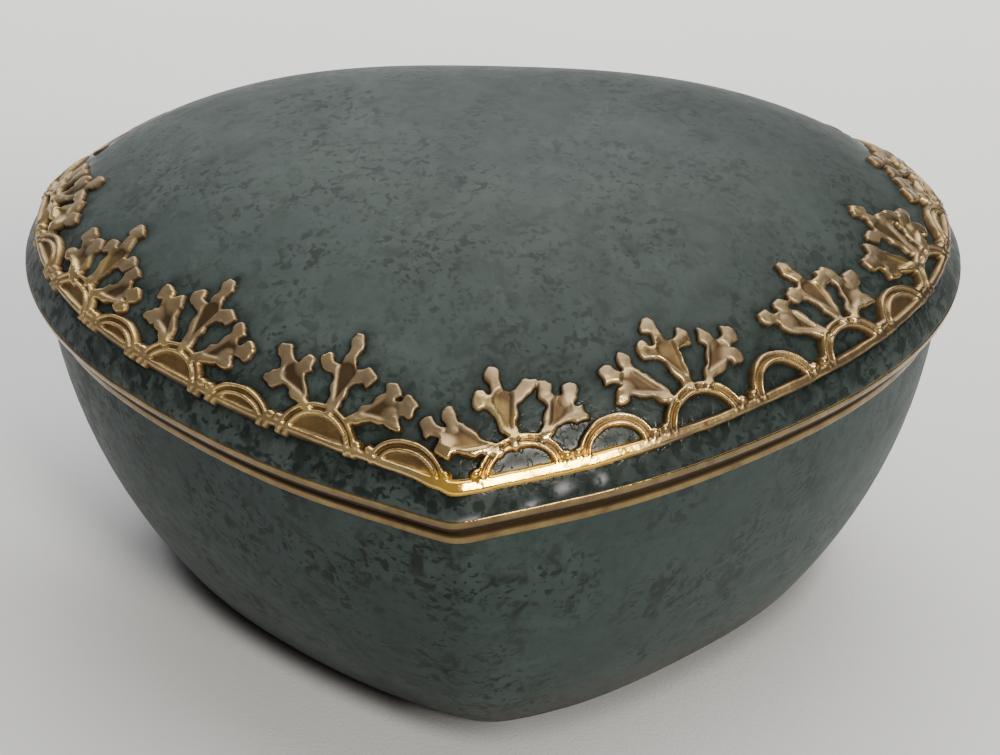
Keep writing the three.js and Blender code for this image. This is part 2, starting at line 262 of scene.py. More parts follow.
bowl += [(RIM_INSET + WALL, 1, SEAM_Z, 0.6)]
bowl += [(base_inset(z) + WALL + (1 - z / SEAM_Z) * 0.8, 1, z) for z in inner]
floor_z = FOOT_RECESS + 3.4
d0 = base_inset(6.5) + WALL + 0.7
bowl += [(d0 + 0.9, 1, floor_z + 0.75), (d0 + 2.2, 1, floor_z + 0.3), (d0 + 4.0, 1, floor_z + 0.06), (d0 + 5.5, 1, floor_z),
         (d0 + 5.5, 0.8, floor_z), (d0 + 5.5, 0.5, floor_z), (d0 + 5.5, 0.2, floor_z), (0, 0, floor_z)]
bowl = rounded(bowl, 0)
edges = [0.024 + 0.05 * float(np.clip(1 - z / SEAM_Z, 0, 1))**1.2 for _, _, z in bowl]
base, base_verts, _ = heart_lathe("bowl", bowl, 720, edges, lean=True)
face_out(base)

# ---------------------------------------------------------------- the gilt border as a height map over the dome
def segment(x, y, a, b, ra, rb):
    dx, dy = b[0] - a[0], b[1] - a[1]
    h = np.clip(((x - a[0]) * dx + (y - a[1]) * dy) / (dx * dx + dy * dy), 0, 1)
    return np.hypot(x - a[0] - h * dx, y - a[1] - h * dy) - (ra + (rb - ra) * h)


def soft_min(a, b, k):
    h = np.clip(0.5 + 0.5 * (b - a) / k, 0, 1)
    return b * (1 - h) + a * h - k * h * (1 - h)


def arch_band(x, y, a, b, y0, half):
    q = np.sqrt((x / a)**2 + ((y - y0) / b)**2) + 1e-6
    g = np.sqrt((x / a**2)**2 + ((y - y0) / b**2)**2) / q + 1e-6
    d = np.abs((q - 1) / g) - half
    return np.maximum(d, (y0 - 0.3) - y)


def table(xs, ys):
    """A smooth curve through the points, level at each of them."""
    xs, ys = np.asarray(xs, float), np.asarray(ys, float)

    def at(x):
        i = np.clip(np.searchsorted(xs, x, side="right") - 1, 0, len(xs) - 2)
        t = np.clip((x - xs[i]) / (xs[i + 1] - xs[i]), 0, 1)
        return ys[i] + (ys[i + 1] - ys[i]) * t * t * (3 - 2 * t)
    return at


rail_low = table([-168, -90, -20, -12, -6, -2, 0, 14, 22, 30, 40, 50, 60, 75, 168],
                 [0.9, 1.3, 1.4, 1.0, 0.65, 0.15, -0.25, -0.25, 0.05, 0.3, 0.55, 0.75, 0.9, 1.0, 0.9])
rail_high = table([-168, -20, -8, 0, 30, 45, 60, 168], [2.1, 2.3, 1.9, 1.45, 1.6, 1.95, 2.1, 2.1])

# One sprig: arch crown, then three heads. A head is its stem's root and its three lobes. Sideways from the
# sprig's centre, and up the dome from the rail.
PLAIN_SPRIG = (5.7, [((0.2, 6.2), (-3.1, 10.9), (-0.2, 14.1), (3.2, 10.9)),
                     ((-3.0, 5.5), (-5.6, 9.8), (-8.6, 9.2), (-7.8, 6.3)),
                     ((3.3, 5.7), (5.4, 10.0), (8.3, 8.7), (7.4, 6.1))])
HAND_LAID = {   # sprigs that were laid a little differently
    0: (5.3, [((-1.0, 5.4), (-4.7, 9.7), (-3.3, 12.5), (1.6, 10.6)),
              ((-3.5, 4.5), (-8.8, 8.0), (-11.3, 6.5), (-9.3, 4.6)),
              ((3.6, 5.2), (3.7, 9.8), (6.9, 8.9), (7.5, 6.2))]),
    1: (6.1, [((0.0, 6.7), (-4.2, 11.7), (-2.2, 14.5), (2.0, 11.7)),
              ((-3.5, 6.0), (-7.6, 11.1), (-10.2, 10.1), (-8.8, 7.1)),
              ((2.8, 6.6), (4.8, 10.7), (8.3, 9.9), (7.2, 7.2))]),
    2: (6.1, [((1.6, 6.6), (-1.9, 11.0), (0.6, 14.3), (4.2, 11.2)),
              ((-2.6, 6.0), (-4.9, 10.6), (-8.0, 10.0), (-6.3, 8.4)),
              ((3.9, 6.0), (5.6, 10.8), (7.9, 9.1), (6.8, 6.1))]),
    3: (5.4, [((0.0, 5.9), (-2.6, 10.8), (1.0, 13.8), (2.9, 10.6)),
              ((-2.9, 5.2), (-5.5, 9.8), (-7.9, 8.8), (-6.9, 6.4)),
              ((2.0, 5.6), (4.3, 9.8), (6.5, 8.4), (5.6, 6.0))]),
    4: (5.3, [((-0.6, 5.8), (-3.7, 8.4), (-2.6, 10.6), (0.5, 8.5)),
              ((-3.4, 5.2), (-6.2, 7.9), (-8.7, 6.9), (-7.2, 4.7)),
              ((2.4, 5.2), (3.1, 7.6), (5.2, 6.8), (5.3, 4.9))]),
    11: (5.3, [((0.6, 5.8), (-0.6, 8.6), (2.3, 11.0), (3.6, 8.5)),
               ((-2.4, 5.2), (-3.3, 7.7), (-5.4, 6.9), (-5.4, 4.9)),
               ((3.4, 5.2), (6.0, 8.2), (8.8, 7.2), (7.3, 4.9))]),
    12: (5.3, [((1.2, 6.0), (-2.5, 10.1), (-1.5, 13.6), (3.3, 10.1)),
               ((-2.2, 4.8), (-4.7, 8.8), (-7.7, 8.6), (-7.0, 5.6)),
               ((4.0, 5.3), (5.3, 9.3), (8.4, 7.4), (8.0, 5.5))]),
    13: (5.7, [((0.0, 6.4), (-3.5, 11.5), (-0.5, 14.6), (3.2, 11.2)),
               ((-3.5, 5.7), (-5.6, 9.6), (-8.3, 10.0), (-7.5, 6.8)),
               ((3.2, 5.7), (6.0, 10.2), (8.7, 8.3), (6.7, 6.0))]),
    14: (6.0, [((1.0, 6.3), (-1.6, 11.0), (1.8, 14.4), (4.7, 10.6)),
               ((-2.9, 6.0), (-4.3, 9.8), (-8.1, 10.3), (-8.2, 6.7)),
               ((4.7, 6.1), (8.5, 9.6), (10.8, 8.2), (9.0, 6.1))]),
}
PLAIN_CROWN = {0: 5.4, 1: 6.2, 2: 5.4, 3: 5.1, 11: 5.0, 12: 4.6, 13: 4.5, 14: 4.6}
FILLED_SPRIG, FILLED_PLAIN = {12, 13, 14}, {2, 3, 11, 12, 13, 14}    # arches whose inside is gilt too
HEAD_REACH = {5: 0.62, 6: 0.62, 7: 0.62, 8: 0.62, 9: 0.62, 10: 0.62}    # the heads are shorter round the back
shake = np.random.default_rng(23)
sprigs = []
for k, centre in enumerate(SPRIGS):
    if k in HAND_LAID:
        crown, heads = HAND_LAID[k]
    else:
        crown, heads = PLAIN_SPRIG
        crown += shake.uniform(-0.3, 0.3)
        reach = HEAD_REACH.get(k, 1.0)
        heads = [tuple((px + shake.normal(0, 0.3), 5.4 + (py - 5.4) * reach + shake.normal(0, 0.25)) for px, py in h) for h in heads]
    sprigs.append((centre, crown, heads))
arches = []
for k, centre in enumerate(SPRIGS):
    nxt_centre = SPRIGS[k + 1] if k + 1 < len(SPRIGS) else SPRIGS[0] + PERIMETER
    arches.append(((centre + nxt_centre) / 2 - (1.0 if k == 14 else 0.0), PLAIN_CROWN.get(k, 5.0 + shake.uniform(-0.2, 0.2))))


def wrapped(u):
    return (u + PERIMETER / 2) % PERIMETER - PERIMETER / 2


def head_field(x, y, root, lobes):
    """(signed distance, how deep in the scoop) of one head."""
    mean = (sum(p[0] for p in lobes) / 3, sum(p[1] for p in lobes) / 3)
    hub = (root[0] * 0.36 + mean[0] * 0.64, root[1] * 0.36 + mean[1] * 0.64)
    reach = math.hypot(root[0], root[1] - 1.1)
    foot = (root[0] * (1 - 1.5 / reach), root[1] - (root[1] - 1.1) * 1.5 / reach)
    d = segment(x, y, foot, hub, 0.55, 1.8)
    for n, lobe in enumerate(lobes):
        ax, ay = lobe[0] - hub[0], lobe[1] - hub[1]
        far = math.hypot(ax, ay)
        along, aside = ((x - lobe[0]) * ax + (y - lobe[1]) * ay) / far, ((y - lobe[1]) * ax - (x - lobe[0]) * ay) / far
        d = soft_min(d, segment(x, y, hub, lobe, 1.2, 0.75), 0.35)
        tip = (np.abs(along)**1.35 + np.abs(1.1 * aside)**1.35)**(1 / 1.35) - (1.5 if n == 1 else 1.38)
        d = soft_min(d, 0.85 * tip, 0.2)
    start = (root[0] + (hub[0] - root[0]) * 0.1, root[1] + (hub[1] - root[1]) * 0.1)
    end = (root[0] + (hub[0] - root[0]) * 1.15, root[1] + (hub[1] - root[1]) * 1.15)
    scoop = segment(x, y, start, end, 0.15, 1.45)
    return d, scoop


def arch_field(x, y, half, crown):
    """(signed distance of the double-rimmed band, its channel, its inside)."""
    a, b, y0 = half - 0.83, crown - 0.8 - 1.1, 1.1
    band = arch_band(x, y, a, b, y0, 0.83)
    channel = arch_band(x, y, a - 0.02, b - 0.02, y0, 0.3)
    inside = np.maximum((np.sqrt((x / a)**2 + ((y - y0) / b)**2) - 1) * min(a, b), y0 - y)
    return band, channel, inside


def border(u, v):
    """(signed distance to the border's outline, height above the glaze) at border coordinates in mm."""
    u, v = np.broadcast_arrays(np.asarray(u, float), np.asarray(v, float))
    wobble = 0.05 * np.sin(u * 2.1 + 0.7 * np.sin(v * 1.7)) + 0.04 * np.sin(v * 3.1 + u * 0.83)
    ragged = 3.0 * wobble + 0.04 * np.sin(u * 4.1 + 1.6 * np.sin(v * 3.7))
    outline, height = np.full(u.shape, 9.0), np.full(u.shape, -3.0)

    def lay(sel, plate, relief):
        """Lays one shape over what is there: relief is the height where the plate is, falling off outside it."""
        edge = np.sqrt(np.clip(1 - np.clip(1 + plate / 0.34, 0, 1)**2, 0, 1))
        h = np.where(plate < 0, edge * relief, -1.6 * plate)
        outline[sel] = soft_min(outline[sel], plate, 0.15)
        height[sel] = np.maximum(height[sel], h)

    def local(centre, reach):
        x = wrapped(u - centre)
        sel = np.abs(x) < reach
        return sel, x[sel], v[sel], wobble[sel], ragged[sel]

    for k, (centre, crown, heads) in enumerate(sprigs):
        sel, x, y, wob, rag = local(centre, 14.0)
        if not sel.any():
            continue
        band, channel, inside = arch_field(x, y, 5.3, crown)
        lay(sel, band + 0.5 * wob, 0.98 - 0.62 * smooth01(-channel, -0.1, 0.26))
        if k in FILLED_SPRIG:
            lay(sel, inside, 0.36 + 0 * x)
        for root, *lobes in heads:
            d, scoop = head_field(x, y, root, lobes)
            top = 0.98 - 0.58 * smooth01(-scoop, -0.12, 0.42)
            for lobe in lobes:
                r = np.hypot(x - lobe[0], y - lobe[1])
                top = np.maximum(top, 1.06 - 0.16 * np.clip(r, 0, 2)**2)
            lay(sel, d + rag, top)
        for c in (5.25, -5.25):
            r = np.hypot(x - c, y - rail_high(wrapped(centre + c)) - 0.3) / 0.74
            lay(sel, (r - 1) * 0.74, 1.14 * np.sqrt(np.clip(1 - 0.75 * r**2, 0, 1)))
    for k, (centre, crown) in enumerate(arches):
        sel, x, y, wob, rag = local(centre, 7.0)
        if not sel.any():
            continue
        band, channel, inside = arch_field(x, y, 4.75, crown)
        lay(sel, band + 0.5 * wob, 0.96 - 0.6 * smooth01(-channel, -0.1, 0.26))
        if k in FILLED_PLAIN:
            lay(sel, inside, 0.34 + 0.1 * np.clip(1 - y / 4, 0, 1))
        for c in (4.7, -4.7):
            r = np.hypot(x - c, y - rail_high(wrapped(centre + c)) - 0.3) / 0.7
            lay(sel, (r - 1) * 0.7, 1.1 * np.sqrt(np.clip(1 - 0.75 * r**2, 0, 1)))
    us_ = wrapped(u)
    low, high = rail_low(us_), rail_high(us_)
    rail = np.abs(v - (low + high) / 2) - (high - low) / 2 - 0.4 * wobble
    every = np.ones(u.shape, bool)
    lay(every, rail[every], (0.9 + 0.05 * wobble)[every])
    return outline, height


STEP = 0.2
nu = int(round(PERIMETER / STEP))
us = -PERIMETER / 2 + np.arange(nu) * (PERIMETER / nu)
vs = np.arange(-0.9, 15.6, STEP)
U, V = np.meshgrid(us, vs, indexing="xy")
_, Hgt = border(U, V)
Hgt = Hgt + 0.014 * np.sin(U * 1.3 + 2 * np.sin(V * 0.9)) * np.sin(V * 1.9)


def on_dome(U, V, W):
    s = scale_at(V)
    nx, nz = dome_normal(s)
    x, y = np.empty_like(U), np.empty_like(U)
    for j in range(U.shape[0]):
        x[j], y[j] = ring(theta_at(U[j]), -W[j] * nx[j], s[j, 0])
    return np.stack([x, y + SHIFT_Y, dome_z(s) + W * nz], -1)


FLOOR_W = -0.22
W = np.maximum(Hgt, FLOOR_W)
crust = smooth01(V, 4.4, 6.4)               # the heads are flatter and duller than the rail and the arches
# and the relief is lower round the back, where nothing of it stands above the dome's horizon
quiet = np.where(U > 0, smooth01(U, 103, 112), smooth01(-U, 91, 99))
top = on_dome(U, V, np.where(W > 0, W * (1 - 0.4 * crust) * (1 - 0.88 * quiet), W))
bottom = on_dome(U, V, np.full(U.shape, FLOOR_W - 0.12))
rows, cols = U.shape
right = np.roll(W, -1, axis=1)
stack = np.stack([W[:-1], W[1:], right[:-1], right[1:]])
keep = stack.max(0) > FLOOR_W + 1e-6
vid = np.arange(rows * cols).reshape(rows, cols)
a, b = vid[:-1], vid[1:]
ar, br = np.roll(vid, -1, axis=1)[:-1], np.roll(vid, -1, axis=1)[1:]
q_top = np.stack([a, ar, br, b], -1)[keep]
q_bot = np.stack([a, b, br, ar], -1)[keep] + rows * cols
walls = []
up = np.zeros_like(keep); up[:-1] = keep[1:]
dn = np.zeros_like(keep); dn[1:] = keep[:-1]
rt, lf = np.roll(keep, -1, axis=1), np.roll(keep, 1, axis=1)
n0 = rows * cols
m = keep & ~up; walls.append(np.stack([b[m], br[m], br[m] + n0, b[m] + n0], -1))
m = keep & ~dn; walls.append(np.stack([ar[m], a[m], a[m] + n0, ar[m] + n0], -1))
m = keep & ~rt; walls.append(np.stack([br[m], ar[m], ar[m] + n0, br[m] + n0], -1))
m = keep & ~lf; walls.append(np.stack([a[m], b[m], b[m] + n0, a[m] + n0], -1))
quads = np.concatenate([q_top, q_bot] + walls)
verts = np.concatenate([top.reshape(-1, 3), bottom.reshape(-1, 3)])
heights = np.concatenate([W.ravel(), np.full(n0, FLOOR_W)])
used = np.unique(quads)
remap = np.full(len(verts), -1); remap[used] = np.arange(len(used))
gilt = make_object("gilt_border", verts[used], remap[quads])
set_attribute(gilt, "relief", heights[used])
dull = np.maximum(crust, 0.6 * smooth01(np.abs(U + 8), 48, 72))
set_attribute(gilt, "dull", np.concatenate([dull.ravel(), dull.ravel()])[used])
# painted dark reflection: the rail browner to the right of the point, less so on the left, and the arches on the right
# a little
on_rail = 1 - smooth01(V, 1.7, 2.3)
dark_reflection = on_rail * (smooth01(U, 19, 27) * (1 - 0.4 * smooth01(U, 60, 90)) + 0.5 * smooth01(-U, 10, 20))
dark_reflection = np.maximum(dark_reflection, 0.38 * smooth01(U, 17, 27) * (1 - 0.5 * crust))
set_attribute(gilt, "dark_reflection", np.concatenate([dark_reflection.ravel(), dark_reflection.ravel()])[used])
highlight_tint = on_rail * (1 - smooth01(np.abs(U - 9), 9, 15))     # painted highlight: the rail a brighter, yellower gold beside the point, where the window's highlight falls
set_attribute(gilt, "highlight_tint", np.concatenate([highlight_tint.ravel(), highlight_tint.ravel()])[used])
face_out(gilt)

# ---------------------------------------------------------------- lid
apex = [0, 0.06, 0.14, 0.24, 0.34, 0.44, 0.53, 0.6]
fine = scale_at(np.arange(17.5, -3.6, -0.42))
outer_s = np.concatenate([apex, np.linspace(0.63, fine[0], 8)[:-1] if fine[0] > 0.63 else [], fine])
outer_s = np.unique(np.clip(np.concatenate([outer_s, [0.9996]]), 0, 1))
lid = [(FLANGE_IN + 0.8, s, dome_z(0.83 * s) - LID_WALL) for s in (0, 0.1, 0.2, 0.35, 0.5, 0.65, 0.76, 0.85, 0.92)]
lid += [(FLANGE_IN + 0.8, 0.965, dome_z(0.81) - LID_WALL - 0.5), (FLANGE_IN + 0.8, 0.99, 53.4), (FLANGE_IN + 0.7, 1, 52.2), (FLANGE_IN + 0.4, 1, 51.0),
        (FLANGE_IN + 0.1, 1, 49.7), (FLANGE_IN, 1, 48.2), (FLANGE_IN, 1, 45.0)]
lid += [(FLANGE_IN, 1, LID_BOTTOM - FLANGE_DEPTH, 0.7), (FLANGE_OUT, 1, LID_BOTTOM - FLANGE_DEPTH, 0.7), (FLANGE_OUT, 1, LID_BOTTOM, 0.3), (LID_EDGE_INSET + 0.1, 1, LID_BOTTOM, 0.3)]
SKIRT_Z = np.array([45.35, 45.5, 45.8, 46.15, 46.42, 46.62, 46.8, 47.0, 47.3, 47.7, 48.1, 48.4])
SKIRT_D = np.array([1.4, 1.28, 1.02, 0.72, 0.52, 0.4, 0.32, 0.25, 0.16, 0.07, 0.02, 0.0])
for z, d in zip(SKIRT_Z[1:-1], SKIRT_D[1:-1]):
    lid.append((float(d), 1, float(z)))
lid += [(0, float(s), float(dome_z(s))) for s in outer_s[::-1]]
lid = rounded(lid, 0)
COLS = 840
lid_obj, lid_verts, lid_index = heart_lathe("lid", lid, COLS, [0.022] * len(lid))
face_out(lid_obj)
# pooled_shade: nearness to the gilt border, for painted shade beside the relief where the glaze has also pooled
pooled_shade, wear = np.zeros(len(lid_verts)), np.zeros(len(lid_verts))
CHIPS = [(2.4, 47.9, 2.0, 0.5), (8.7, 48.3, 0.8, 0.4), (12.4, 49.4, 0.9, 0.5), (16.8, 49.4, 0.6, 0.5)]
theta = np.linspace(-np.pi, np.pi, COLS, endpoint=False)
for (d, s, z), idx in zip(lid, lid_index):
    if d == 0 and s > 0 and z > WIDEST - 0.5:
        v = climb_at(s)
        if v < 17.5:
            dist, _ = border(along_at(theta), np.full(COLS, float(v)))
            pooled_shade[idx] = np.exp(-np.clip(dist, 0, 9) / 0.75)
    if d < 1 and 46.5 < z < 51.5:
        for cu, cz, du, dz in CHIPS:
            wear[idx] = np.maximum(wear[idx], np.exp(-((along_at(theta) - cu) / du)**2 - ((z - cz) / dz)**2))
set_attribute(lid_obj, "pooled_shade", pooled_shade)
set_attribute(lid_obj, "wear", wear)


# ---------------------------------------------------------------- gilt lines either side of the seam
def painted_line(name, surface, rows_z, seed, thick=0.13, lift=0.04, lean=False):
    """A thin gilt film on a wall. rows_z runs from one edge of the film to the other; surface(z) gives the wall's
    (inset, nx, nz) at height z. The film's edges wander a little."""
    cols = 720
    th = np.linspace(-np.pi, np.pi, cols, endpoint=False)
    r = np.random.default_rng(seed)

    def wander(amount):
        w = np.zeros(cols)
        for f in (3, 5, 8, 13, 21, 34, 55):
            w += r.normal() * np.sin(f * th + r.uniform(0, 6.28)) / f**0.3
        return amount * w / 2.2
    first, last = wander(0.05), wander(0.06)
    n_rows = len(rows_z)
    loop = []
    for k, z0 in enumerate(rows_z):
        f = k / (n_rows - 1)
        w = lift + thick * math.sqrt(max(0, 1 - abs(2 * f - 1)**6))
        loop.append((z0 + first * (1 - f)**3 + last * f**3, w))
    back_rows = [(z, -0.22) for z, _ in loop[::-1]]
    verts = []
    for z, w in loop + back_rows:
        inset, nx, nz = surface(z)
        x, y = ring(th, inset - w * nx, 1.0)
        if lean:
            x = x + lean_x(th, z)
        verts.append(np.column_stack([x, y + SHIFT_Y, z + w * nz]))
    n = len(verts)
    vid = np.arange(n * cols).reshape(n, cols)
    nxt = np.roll(vid, -1, axis=1)
    up = np.roll(vid, -1, axis=0)
    upn = np.roll(nxt, -1, axis=0)
    obj = make_object(name, np.concatenate(verts), np.stack([vid, nxt, upn, up], -1).reshape(-1, 4))
    face_out(obj)
    return obj, np.concatenate([np.broadcast_to(z, (cols,)) for z, _ in loop + back_rows])


def lid_skirt(z):
    inset = np.interp(z, SKIRT_Z, SKIRT_D)
    slope = (np.interp(z + 0.1, SKIRT_Z, SKIRT_D) - np.interp(z - 0.1, SKIRT_Z, SKIRT_D)) / 0.2
    n = np.sqrt(1 + slope**2)
    return inset, 1 / n, slope / n


def bowl_wall(z):
    over = np.clip((z - (SEAM_Z - SHOULDER)) / SHOULDER, 0, 0.995)
    inset = np.where(over > 0, RIM_INSET + SHOULDER * (1 - np.sqrt(1 - over**2)), base_inset(z))
    return inset, np.sqrt(1 - over**2), over


lid_line, line_z = painted_line("gilt_line_lid", lid_skirt, np.array([45.75, 45.95, 46.2, 46.42, 46.6, 46.75, 46.9, 47.1, 47.3, 47.5, 47.7, 47.88, 48.0]), 5)
set_attribute(lid_line, "shade", 1 - smooth01(line_z, 46.75, 47.1))
base_line, line_z = painted_line("gilt_line_bowl", bowl_wall, np.array([44.85, 44.7, 44.5, 44.3, 44.1, 43.9, 43.75, 43.6, 43.45, 43.3, 43.15, 43.0]), 6, lean=True)
set_attribute(base_line, "shade", smooth01(line_z, 43.75, 44.25))

# ---------------------------------------------------------------- what stands for what
gilt_nodes = [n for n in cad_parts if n.startswith("border_")]
for obj, body, slot, nodes in ((base, "base", "base_glaze", ["base_bowl"]), (lid_obj, "lid", "lid_glaze", ["lid_shell"]),
                               (gilt, "lid", "gilding", gilt_nodes), (lid_line, "lid", "gilding", ["lid_gilt_line"]),
                               (base_line, "base", "gilding", ["base_gilt_line"])):
    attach(obj, body)
    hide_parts(*nodes)


# ---------------------------------------------------------------- materials
class Tree:
    def __init__(self, name):
        self.mat = bpy.data.materials.new(name)
        self.mat.use_nodes = True
        self.t = self.mat.node_tree
        self.t.nodes.clear()
        self.out = self.t.nodes.new("ShaderNodeOutputMaterial")
        self.bsdf = self.t.nodes.new("ShaderNodeBsdfPrincipled")
        self.t.links.new(self.bsdf.outputs[0], self.out.inputs[0])
        self.coord = self.t.nodes.new("ShaderNodeTexCoord").outputs["Object"]

    def link(self, a, b):
        self.t.links.new(a, b)
        return b

    def node(self, kind, **values):
        n = self.t.nodes.new(kind)
        for k, v in values.items():
            setattr(n, k, v)
        return n

    def noise(self, scale, detail=3.0, rough=0.5, distortion=0.0, stretch=None):
        n = self.node("ShaderNodeTexNoise")
        n.inputs["Scale"].default_value = scale
        n.inputs["Detail"].default_value = detail
        n.inputs["Roughness"].default_value = rough
        n.inputs["Distortion"].default_value = distortion
        if stretch:
            m = self.node("ShaderNodeMapping")
            m.inputs["Scale"].default_value = stretch
            self.link(self.coord, m.inputs["Vector"])
            self.link(m.outputs[0], n.inputs["Vector"])
        else:
            self.link(self.coord, n.inputs["Vector"])
        return n.outputs["Fac"]

    def ramp(self, fac, stops, interpolation="LINEAR"):
        n = self.node("ShaderNodeValToRGB")
        n.color_ramp.interpolation = interpolation
        e = n.color_ramp.elements
        while len(e) < len(stops):
            e.new(0.5)
        for el, (p, c) in zip(e, stops):
            el.position = p
            el.color = (*c, 1) if hasattr(c, "__len__") else (c, c, c, 1)
        self.link(fac, n.inputs["Fac"])
        return n.outputs["Color"]

    def mix(self, fac, a, b, blend="MIX"):
        n = self.node("ShaderNodeMix", data_type="RGBA", blend_type=blend)
        for s, v in ((n.inputs["Factor"], fac), (n.inputs[6], a), (n.inputs[7], b)):
            if hasattr(v, "is_linked") or hasattr(v, "links"):
                self.link(v, s)
            elif hasattr(v, "__len__"):
                s.default_value = (*v, 1)
            else:
                s.default_value = v
        return n.outputs[2]

    def math(self, op, a, b=0.0, clamp=False):
        n = self.node("ShaderNodeMath", operation=op, use_clamp=clamp)
        for s, v in ((n.inputs[0], a), (n.inputs[1], b)):
            if hasattr(v, "links"):
                self.link(v, s)
            else:
                s.default_value = v
        return n.outputs[0]

    def attribute(self, name):
        return self.node("ShaderNodeAttribute", attribute_name=name).outputs["Fac"]

    def bump(self, height, strength, distance, after=None):
        n = self.node("ShaderNodeBump")
        n.inputs["Strength"].default_value = strength
        n.inputs["Distance"].default_value = distance
        self.link(height, n.inputs["Height"])
        if after is not None:
            self.link(after, n.inputs["Normal"])
        return n.outputs[0]


def glaze(name, dark, mid, light, strength, streak, gloss, specks, pooled_shade=False):
    m = Tree(name)
    broad = m.noise(38, 3, 0.5, 0.5)
    cloud = m.noise(240, 4, 0.6, 0.7)
    colour = m.ramp(broad, [(0.36, mid), (0.64, light)])
    colour = m.mix(m.ramp(cloud, [(0.40, 0.0), (0.66, 0.55)]), colour, tuple(0.74 * c for c in mid))
    place = m.node("ShaderNodeSeparateXYZ")
    m.link(m.coord, place.inputs[0])
    across, height = m.math("ADD", m.math("MULTIPLY", place.outputs[0], 10.0), 0.5), m.math("MULTIPLY", place.outputs[2], 10.0)
    low = m.ramp(height, [(0.505, 1.0), (0.535, 0.7), (0.62, 0.0)]) if pooled_shade else m.ramp(height, [(0.10, 0.0), (0.30, 0.3), (0.44, 0.3)])
    # dark flecks, and short curling strokes where the glaze has broken: on the lid they are denser towards the border
    many = m.math("MAXIMUM", m.ramp(m.noise(95, 2, 0.5), [(0.36, 0.15), (0.60, 1.0)]), low)
    denser = m.math("MULTIPLY", low, 0.055)
    fleck = m.ramp(m.math("ADD", m.noise(690, 1.5, 0.5, 0.25), denser), [(0.57, 0.0), (0.66, 1.0)])
    blot = m.ramp(m.math("ADD", m.noise(340, 2, 0.6, 0.3, (1.0, 1.0, streak)), denser), [(0.565, 0.0), (0.69, 1.0)])
    vein = m.noise(300, 1.5, 0.5, 0.9)
    curl = m.ramp(m.math("ABSOLUTE", m.math("SUBTRACT", vein, 0.5)), [(0.014, 1.0), (0.045, 0.0)])
    curl = m.math("MULTIPLY", curl, m.ramp(m.noise(430, 1, 0.5), [(0.55, 0.0), (0.63, 1.0)]))
    speck = m.ramp(m.noise(1150, 1.5, 0.5, 0.2), [(0.59, 0.0), (0.66, 1.0)])
    marks = m.math("MAXIMUM", m.math("MAXIMUM", m.math("MULTIPLY", fleck, 0.9), m.math("MULTIPLY", blot, 0.65 if pooled_shade else 0.9)),
                   m.math("MAXIMUM", m.math("MULTIPLY", curl, 0.6), m.math("MULTIPLY", speck, specks)))
    marks = m.math("MULTIPLY", marks, many)
    if pooled_shade:
        marks = m.math("MULTIPLY", marks, m.math("ADD", m.math("MULTIPLY", low, 0.45), 0.62), clamp=True)
    colour = m.mix(m.math("MULTIPLY", marks, strength), colour, dark)
    pale = m.math("MULTIPLY", m.ramp(m.noise(640, 2, 0.5), [(0.64, 0.0), (0.72, 1.0)]), 0.18)
    colour = m.mix(pale, colour, tuple(1.5 * c for c in light))
    if pooled_shade:
        # painted shade: the lower part of the dome, towards the border, is made darker
        colour = m.mix(m.math("MULTIPLY", low, 0.12), colour, tuple(0.3 * c for c in mid))
        # and darker in blotches towards the border
        low_blotch = m.ramp(m.noise(210, 4, 0.7, 0.6), [(0.49, 0.0), (0.60, 1.0)])
        colour = m.mix(m.math("MULTIPLY", m.math("MULTIPLY", low_blotch, low), 0.6), colour, tuple(0.7 * c for c in dark))
        # painted shade: the lid's glaze made darker towards the right side
        colour = m.mix(m.math("MULTIPLY", m.ramp(across, [(0.35, 0.0), (0.75, 1.0)]), 0.38), colour, dark)
        # painted shade beside the relief, where the glaze has also pooled: darker close to the gilt border
        deep = m.math("MULTIPLY", m.attribute("pooled_shade"), m.ramp(m.noise(300, 3, 0.6), [(0.35, 0.45), (0.6, 1.0)]))
        colour = m.mix(m.math("MULTIPLY", deep, 0.8), colour, tuple(0.5 * c for c in dark))
        chip = m.math("MULTIPLY", m.attribute("wear"), m.ramp(m.noise(700, 2, 0.5), [(0.40, 0.0), (0.54, 1.0)]))
        colour = m.mix(m.math("MULTIPLY", chip, 0.75), colour, (0.33, 0.33, 0.35))
    else:                                       # painted light low on the bowl: lighter to the right, a painted sheen above the foot, and painted shade at the foot
        # painted light: the bowl's glaze made lighter towards the right side
        colour = m.mix(m.math("MULTIPLY", m.ramp(across, [(0.48, 0.0), (0.85, 1.0)]), 0.32), colour, (0.055, 0.074, 0.068))
        # painted sheen of the pale cloth low on the wall, stronger to the right
        cloth_sheen = m.math("MULTIPLY", m.ramp(height, [(0.03, 0.8), (0.13, 0.0)]), m.ramp(m.noise(130, 3, 0.5), [(0.35, 0.4), (0.65, 1.0)]))
        colour = m.mix(m.math("MULTIPLY", cloth_sheen, m.ramp(across, [(0.35, 0.4), (0.75, 1.0)])), colour, (0.090, 0.084, 0.078))
